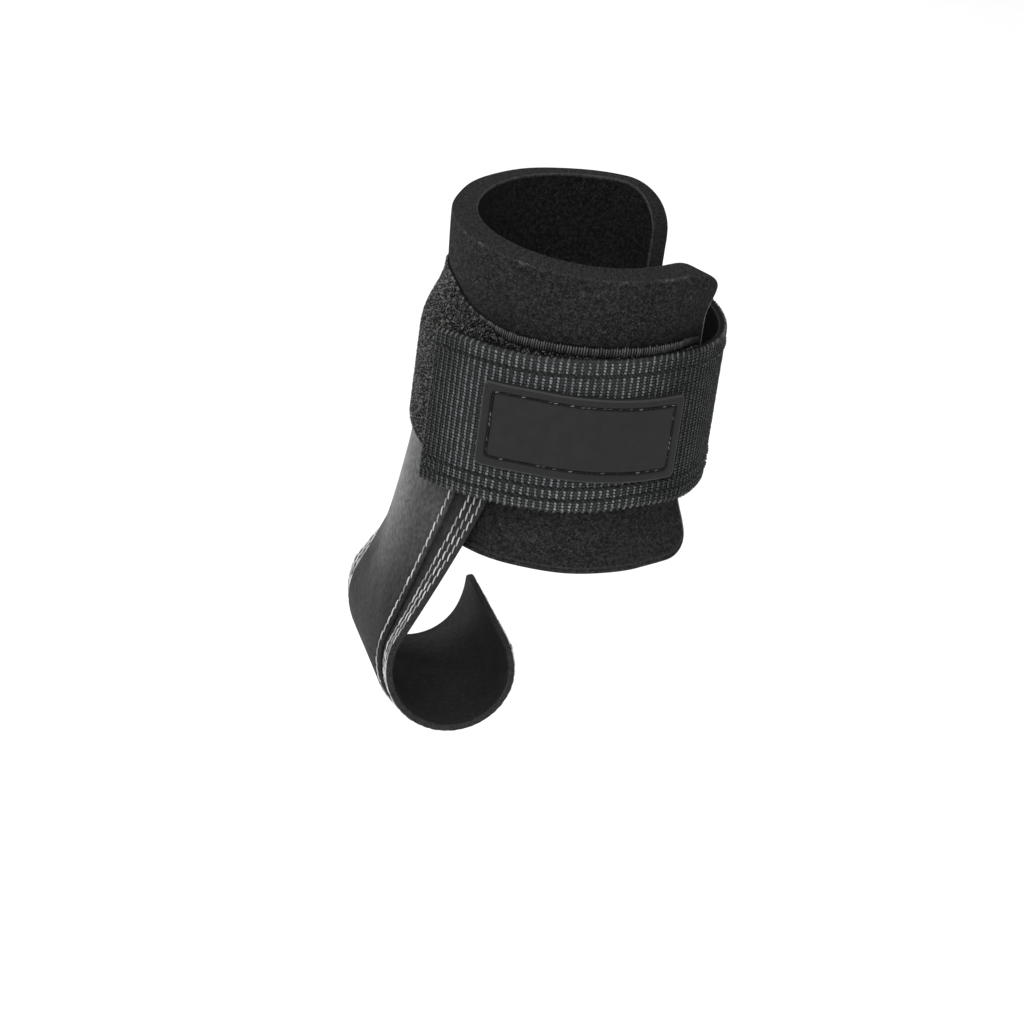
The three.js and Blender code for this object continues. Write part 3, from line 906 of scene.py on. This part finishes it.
def webbingMaterial():
    # fine lines from a wave across the strap, dark gaps between its columns, flecks of noise
    material, tree, shader = startMaterial("webbing", 0.1, 0.85)
    u, v, _ = flatPlace(tree)
    column = calc("FRACT", calc("DIVIDE", u, strap["column"]))
    gap = ramp(calc("ABSOLUTE", calc("SUBTRACT", column, 0.5)), 0.36, 0.5)
    lines = ramp(calc("SINE", times(v, 2 * math.pi / webbing["linePitch"])), -0.5, 0.8)
    fleck = ramp(grain(tree, 0.5, 3.0), 0.35, 0.7)
    body = blend(fleck, *map(tinted, webbing["tones"]))
    body = blend(times(lines, 0.35), body, tinted(webbing["lines"]))
    body = blend(times(gap, 0.45), body, tinted(webbing["gaps"]))
    # painted shade on the inner face, which faces the pad, with a thin pale line along its border
    outside, rim = mark(tree, "outside"), mark(tree, "rim")
    freeEnd = times(rim, ramp(u, 1.6, 0.8))
    inner = calc("SUBTRACT", ramp(outside, 0.9, 0.6), freeEnd, clamp=True)
    body = blend(inner, body, tinted(webbing["inner"]))
    border = times(rim, ramp(outside, 0.14, 0.05), 0.7)
    body = blend(border, body, tinted(webbing["border"]))
    # painted shade on the webbing at the cuff's sides
    feed(shader, "Base Color", darkened(body, sideShade(tree, webbing["sides"])))
    bump(shader, calc("ADD", lines, fleck), 0.08)
    return material


strapColumns = int(strapLength / strap["column"] * strap["perColumn"])
strapU, strapV = evenGrid(strapLength, strap, strapColumns)
strapPiece = slab("closingStrap", strapU, strapV, strapPlace, -ribs(strapU), strap["thick"] + ribs(strapU),
                  strap["edge"])
finishPiece(strapPiece, webbingMaterial(), "webbing", "closing_strap")

strapSelvage = {
    "stations": 7, "around": 6, "radius": 0.3, "rise": 0.06, "sink": 0.4, "wander": 0.1, "even": 0.0,
    "lean": 0.2, "half": 0.55, "inset": 0.4, "seat": 0.15, "tones": (0.03, 0.13),
}


def strapBars():
    # short slanted bars over both long edges, one for each column, with their ends dipped into the webbing
    u = np.arange(0.5, int(strapLength / strap["column"])) * strap["column"]
    edge = strap["width"] / 2 - strapSelvage["inset"]
    v, top = np.repeat([edge, -edge], len(u)), strap["thick"] - strapSelvage["seat"]
    return bars("strapSelvage", strapPlace, np.tile(u, 2), v, top, strapSelvage, strapSelvage["half"])


finishPiece(strapBars(), selvageMaterial("webbingEdge", strapSelvage), "webbing")

strapThread = {
    "pitch": 1.85, "fill": 0.8, "stations": 7, "around": 6, "radius": 0.34, "rise": 0.3, "sink": 0.3,
    "slant": -0.42, "wander": 0.14, "upper": 16.0, "lower": (-16.8, -13.6), "end": 2.0, "from": 3,
    "rootRows": (4, 22), "seat": 0.05, "tones": (0.004, 0.011), "paleShare": 1.0,
}


def strapRows():
    # three rows along the strap, one across its free end and two across its root
    top = strap["thick"] - strapThread["seat"]
    first, second = strapThread["rootRows"]
    along = np.linspace(strapThread["from"], strapLength - first, 600)
    rows = [(along, 0 * along + v, top) for v in (strapThread["upper"], *strapThread["lower"])]
    across = np.linspace(strapThread["lower"][0], strapThread["upper"], 160)
    ends = strapThread["end"], strapLength - first, strapLength - second
    return rows + [(np.full(across.shape, at), across, top) for at in ends]


strapSewing = stitches("strapThread", strapPlace, strapRows(), strapThread)
finishPiece(strapSewing, threadMaterial("darkThread", strapThread), "webbing")
print("strap length", round(strapLength, 1))

# Rubber patch, its sewing channel sunk all round
patch = {
    "thick": 1.5, "height": 22, "from": -28.7, "to": 42, "level": -0.5, "corner": 1.6, "channelCorner": 3.4,
    "channel": 2.5, "channelHalf": 0.45, "channelDeep": 0.5, "fieldDrop": 0.16, "seat": 0.25,
    "columns": 220, "rows": 84, "tones": (0.0155, 0.020), "border": 0.018, "channelShade": 0.004,
    "edgeHighlight": 0.075, "roughness": (0.55, 0.7), "crowd": 7,
    "edge": {"round": 0.3, "steps": 8, "square": 0.5},
}
patchRun = runTable(patch["from"], patch["to"],
                    lambda angle: strapOffset(angle) + strap["thick"] + cuff["layerGap"])
patchLength = float(patchRun["run"][-1])


def patchPlace(u, v, h):
    # seated on the strap, a little below its middle
    angle = angleAt(patchRun, u)
    return cuffPoint(angle, strapOffset(angle) + strap["thick"] + cuff["layerGap"] + h, patch["level"] + v)


def patchGrid():
    # rows between two edges whose corners are rounded, columns crowded towards both ends
    inset = patch["edge"]["round"]
    u = mix(inset, patchLength - inset, crowded(patch["columns"], patch["crowd"])[:, None])
    fromEnd = np.minimum(u, patchLength - u) - inset
    half = patch["height"] / 2 - inset - cornerDrop(fromEnd, patch["corner"] - inset)
    s = np.linspace(-1, 1, patch["rows"])
    return u + 0 * s, half * s


def patchInside(u, v):
    # distance in from the outline, its lines rounded at the corners
    corner = patch["channelCorner"]
    x = np.abs(u - patchLength / 2) - (patchLength / 2 - corner)
    y = np.abs(v) - (patch["height"] / 2 - corner)
    return corner - np.hypot(np.maximum(x, 0), np.maximum(y, 0)) - np.minimum(np.maximum(x, y), 0)


def patchTop(u, v):
    # upper face, with the channel sunk into it and the field within a little lower than the border
    inside, half = patchInside(u, v), patch["channelHalf"]
    channel = 1 - smooth(half * 0.5, half * 1.3, np.abs(inside - patch["channel"]))
    field = patch["fieldDrop"] * smooth(patch["channel"] - 0.2, patch["channel"] + 0.2, inside)
    return patch["thick"] - np.maximum(patch["channelDeep"] * channel, field)


def rubberMaterial():
    # clouds of noise between two tones, with the border, the channel and the outer edge set off by distance
    material, tree, shader = startMaterial("patchRubber", 0.16)
    cloud, inside = grain(tree, 3.0, 4.0), mark(tree, "inside")
    channel, half = patch["channel"], patch["channelHalf"]
    body = blend(ramp(cloud, 0.3, 0.7), *map(grey, patch["tones"]))
    body = blend(ramp(inside, channel, channel - 0.3), body, grey(patch["border"]))
    # painted shade down in the channel, a faint painted highlight along the outer edge
    offChannel = calc("ABSOLUTE", calc("SUBTRACT", inside, channel))
    body = blend(ramp(offChannel, half * 1.2, half * 0.6), body, grey(patch["channelShade"]))
    onTop = ramp(mark(tree, "outside"), 0.75, 0.95)
    edge = times(ramp(mark(tree, "fromEdge"), 0.3, 0.0), onTop, 0.35)
    feed(shader, "Base Color", blend(edge, body, grey(patch["edgeHighlight"])))
    feed(shader, "Roughness", ramp(cloud, 0.2, 0.8, *patch["roughness"]))
    bump(shader, grain(tree, 0.25, 2.0), 0.03)
    return material


patchU, patchV = patchGrid()
patchPiece = slab("labelPatch", patchU, patchV, patchPlace, -patch["seat"], patchTop(patchU, patchV),
                  patch["edge"], patchInside)
finishPiece(patchPiece, rubberMaterial(), "patch_rubber", "label_patch")

# a pale share of the patch's stitches, at the high tone, are painted glints on the dark thread
patchThread = {
    "pitch": 1.3, "fill": 0.86, "stations": 6, "around": 6, "radius": 0.17, "rise": 0.1, "sink": 0.2,
    "slant": 0.16, "wander": 0.06, "corner": 0.8, "tones": (0.004, 0.15), "paleShare": 0.35,
}


def patchRows():
    # a rounded rectangle at the channel's depth, drawn as four sides and four quarter circles
    inset, corner = patch["channel"], patchThread["corner"]
    x, y = patchLength / 2 - inset - corner, patch["height"] / 2 - inset - corner
    turn = np.linspace(0, np.pi / 2, 12)
    corners = (1, -1, -90), (1, 1, 0), (-1, 1, 90), (-1, -1, 180)
    quarters = [(sx * x, sy * y, turn + math.radians(start)) for sx, sy, start in corners]
    u = np.concatenate([cx + corner * np.cos(a) for cx, _, a in quarters])
    v = np.concatenate([cy + corner * np.sin(a) for _, cy, a in quarters])
    u, v = np.append(u, u[0]), np.append(v, v[0])
    run = np.concatenate([[0], np.cumsum(np.hypot(np.diff(u), np.diff(v)))])
    at = np.linspace(0, run[-1], 700)
    u, v = np.interp(at, run, u) + patchLength / 2, np.interp(at, run, v)
    return [(u, v, patch["thick"] - patch["channelDeep"])]


patchSewing = stitches("patchThread", patchPlace, patchRows(), patchThread)
finishPiece(patchSewing, threadMaterial("patchStitch", patchThread), "patch_rubber")
print("patch length", round(patchLength, 1))

# Yarn floats on the webbing's face
# foot is the painted shade at each float's foot
yarn = {
    "row": 0.78, "around": 8, "jitter": 0.05, "slant": 0.3, "margin": 0.6, "clear": 0.3, "foot": 0.018,
    "size": (0.75, 1.15), "underPatch": 0.6, "underPatchEnds": 1,
    "crests": {"shift": 0.5, "half": (0.5, 0.45), "rise": 0.24, "rings": [(1.0, -0.3), (0.64, 0.72)],
               "tones": (0.10, 0.29), "sides": 0.34},
    "valleys": {"shift": 1.0, "half": (0.42, 0.36), "rise": 0.17, "rings": [(1.0, -1.2)],
                "tones": (0.05, 0.16), "sides": 0.75},
}


def yarnFloats(name, look):
    # a float is a low slanted dome: an ellipse drawn in ring by ring to its top, one for each row of a column
    across = strap["width"] / 2 - yarn["margin"]
    column = np.arange(int(strapLength / strap["column"] - look["shift"]))
    half = int(across / yarn["row"] + 0.5)
    row = np.arange(-half, half)
    column, row = (x.ravel() for x in np.meshgrid(column, row, indexing="ij"))
    u, v = (column + look["shift"]) * strap["column"], (row + 0.5) * yarn["row"]
    angle = angleAt(strapRun, u)
    level = readLine(strap["line"], angle) + v - patch["level"]
    ends = yarn["underPatchEnds"]
    covered = (angle > patch["from"] + ends) & (angle < patch["to"] - ends)
    covered &= np.abs(level) < patch["height"] / 2 - yarn["underPatch"]
    for line in (strapThread["upper"], *strapThread["lower"]):
        covered |= np.abs(v - line) < yarn["clear"]
    u, v = u[~covered], v[~covered]
    count = len(u)
    u, v = u + draw.normal(0, yarn["jitter"], count), v + draw.normal(0, yarn["jitter"], count)
    size = draw.uniform(*yarn["size"], (count, 1))
    turn = np.tile(np.linspace(0, 2 * np.pi, yarn["around"], endpoint=False), len(look["rings"]))
    reach, height = (np.repeat([ring[k] for ring in look["rings"]], yarn["around"]) for k in (0, 1))
    height = np.append(height, 1.0)
    shapeU = np.append(look["half"][0] * reach * np.cos(turn), 0)
    shapeV = np.append(look["half"][1] * reach * np.sin(turn), 0) - yarn["slant"] * shapeU
    points = strapPlace(u[:, None] + shapeU * size, v[:, None] + shapeV,
                        strap["thick"] + look["rise"] * height * size)
    per = len(height)
    index = np.arange(count * per).reshape(count, per)
    rings = index[:, :-1].reshape(count, -1, yarn["around"])
    last = rings[:, -1]
    tips = np.stack([last, np.roll(last, -1, axis=1), np.broadcast_to(index[:, -1:], last.shape)], axis=-1)
    faces = ringQuads(rings) + tips.reshape(-1, 3).tolist() + rings[:, 0, ::-1].tolist()
    tone = np.broadcast_to(draw.random((count, 1)), index.shape)
    crest = np.broadcast_to(np.maximum(height, 0), index.shape)
    return buildPiece(name, points, faces, None, {"tone": tone, "crest": crest})


def yarnMaterial(name, look):
    # painted shade at a float's foot, its own tone on top standing partly for a painted highlight on the
    # crest, worn in patches of noise
    material, tree, shader = startMaterial(name, 0.2, 0.7)
    worn = ramp(grain(tree, 4.0, 3.0), 0.3, 0.7)
    tone = calc("MULTIPLY_ADD", worn, 0.5, times(mark(tree, "tone"), 0.5))
    top = blend(tone, *map(tinted, look["tones"]))
    body = blend(ramp(mark(tree, "crest"), 0.35, 0.95), tinted(yarn["foot"]), top)
    # painted shade on the floats at the cuff's sides
    feed(shader, "Base Color", darkened(body, sideShade(tree, look["sides"])))
    bump(shader, grain(tree, 0.15, 2.0), 0.04)
    return material


yarnPieces = (
    ("strapYarn", "webbingCrests", yarn["crests"]),
    ("strapWeft", "webbingValleys", yarn["valleys"]),
)
for name, finish, look in yarnPieces:
    finishPiece(yarnFloats(name, look), yarnMaterial(finish, look), "webbing")
print("yarn done")

# Floor, light and camera
studio = {
    "floorLevel": -0.26, "floorSize": 6.0, "floorTone": 0.95, "worldLight": 0.34, "aimAt": (0, 0, -0.02),
    "lights": [
        # name, place, size, watts
        ("keyLight", (-0.5, -2.3, 2.0), 1.8, 58.0),
        ("fillLight", (1.9, -1.8, 1.2), 1.8, 4.0),
        ("sideLight", (-2.2, 1.0, 0.7), 1.4, 26.0),
        ("topLight", (0.0, 0.4, 3.0), 2.2, 58.0),
    ],
}
view = {
    "rise": 25.6, "roll": 8.0, "focal": 3500.0, "pixels": 1024, "distance": 875.0, "originAt": (575.0, 366.0),
    "sensor": 36.0, "clip": (0.01, 50.0),
}


def addFloor():
    # one level square
    half, z = studio["floorSize"] / 2, studio["floorLevel"]
    mesh = bpy.data.meshes.new("floor")
    corners = [(-half, -half, z), (half, -half, z), (half, half, z), (-half, half, z)]
    mesh.from_pydata(corners, [], [(0, 1, 2, 3)])
    floor = bpy.data.objects.new("floor", mesh)
    bpy.context.scene.collection.objects.link(floor)
    material, _, shader = startMaterial("paleFloor", 0.1, 0.9)
    shader.inputs["Base Color"].default_value = grey(studio["floorTone"])
    mesh.materials.append(material)


def standing(name, data, x, y, z, place):
    # an object whose own axes are x, y and z, at place
    holder = bpy.data.objects.new(name, data)
    holder.matrix_world = Matrix([[x[i], y[i], z[i], place[i]] for i in range(3)] + [[0, 0, 0, 1]])
    bpy.context.scene.collection.objects.link(holder)
    return holder


def addLights():
    # square lamps that face one point, and an even white world
    for name, place, size, watts in studio["lights"]:
        lamp = bpy.data.lights.new(name, "AREA")
        lamp.energy, lamp.size = watts, size
        z = unit(np.array(place) - np.array(studio["aimAt"]))
        x = unit(np.cross([0, 0, 1], z))
        standing(name, lamp, x, np.cross(z, x), z, place)
    world = bpy.data.worlds.new("studio")
    world.use_nodes = True
    background = world.node_tree.nodes["Background"]
    background.inputs["Color"].default_value = (1, 1, 1, 1)
    background.inputs["Strength"].default_value = studio["worldLight"]
    bpy.context.scene.world = world


def addCamera():
    # level camera turned down by rise and rolled, set back so that the origin falls on its own pixel
    rise, roll = math.radians(view["rise"]), math.radians(view["roll"])
    right, up = np.array([1, 0, 0]), np.array([0, math.sin(rise), math.cos(rise)])
    x, y = math.cos(roll) * right + math.sin(roll) * up, math.cos(roll) * up - math.sin(roll) * right
    z = np.array([0, -math.cos(rise), math.sin(rise)])
    perPixel = view["distance"] / view["focal"]
    aside = (np.array(view["originAt"]) - view["pixels"] / 2) * perPixel
    place = (view["distance"] * z - aside[0] * x + aside[1] * y) * mm
    lens = bpy.data.cameras.new("camera")
    lens.sensor_width = view["sensor"]
    lens.lens = lens.sensor_width * view["focal"] / view["pixels"]
    lens.clip_start, lens.clip_end = view["clip"]
    bpy.context.scene.camera = standing("camera", lens, x, y, z, place)


addFloor()
addLights()
addCamera()
bpy.context.scene.view_settings.view_transform = "Standard"
print("stage set")
